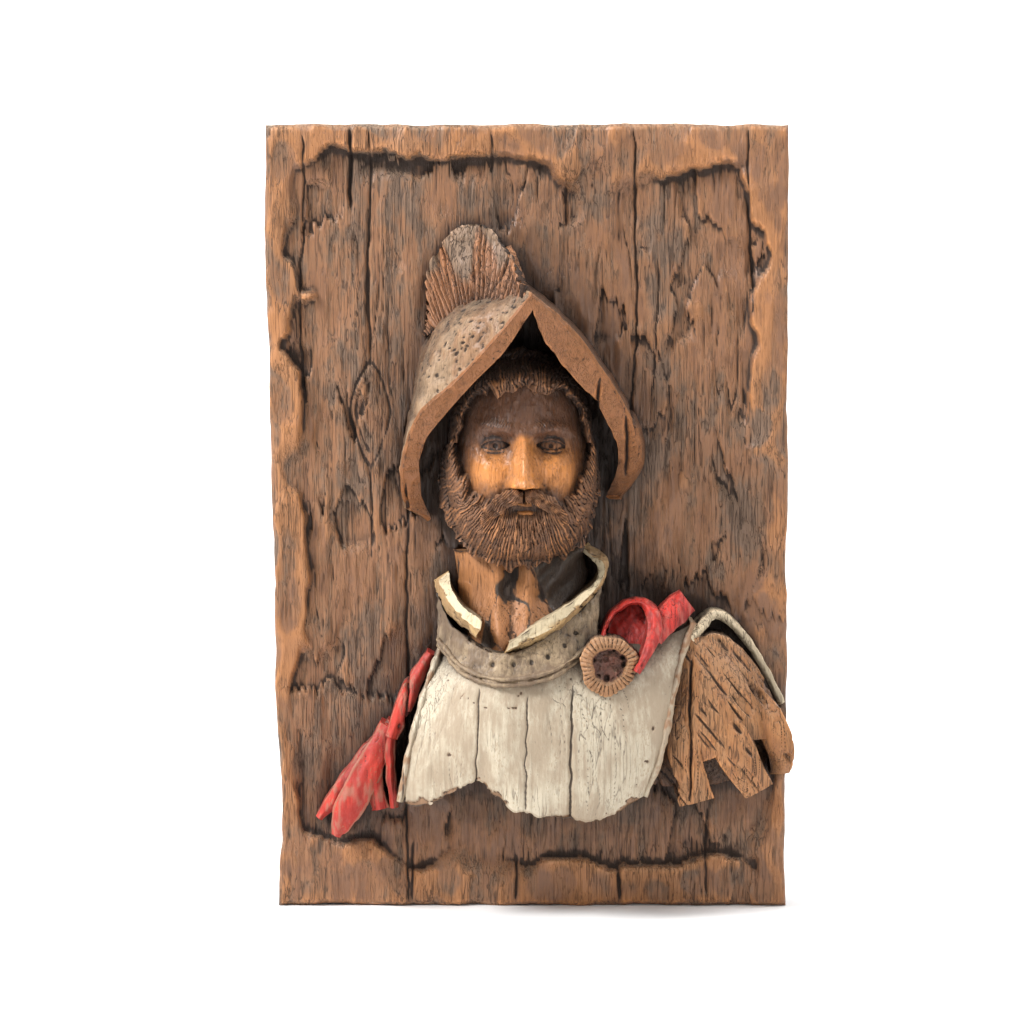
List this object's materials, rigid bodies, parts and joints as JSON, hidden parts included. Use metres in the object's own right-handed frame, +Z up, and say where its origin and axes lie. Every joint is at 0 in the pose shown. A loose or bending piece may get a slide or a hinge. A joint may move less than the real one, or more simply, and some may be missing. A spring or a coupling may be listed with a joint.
{
  "type": "carved wooden wall bust",
  "caption": "Upright wooden panel with a bearded soldier in a crested helmet, standing collar and breastplate carved on it in high relief, to hang on a wall.",
  "frame": {"origin": "middle of the panel's flat back, where it lies on the wall", "axes": "+X to the viewer's right, +Z up, -Y out of the wall towards the viewer"},
  "size_m": [0.41, 0.1483, 0.61],
  "materials": {
    "carved_wood": "aged, satin, dark patina in the cuts",
    "white_paint": "worn cream paint on wood",
    "red_paint": "worn red paint on wood"
  },
  "bodies": {
    "root": {"carved_wall_bust": "carved_wood"}
  },
  "joints": []
}
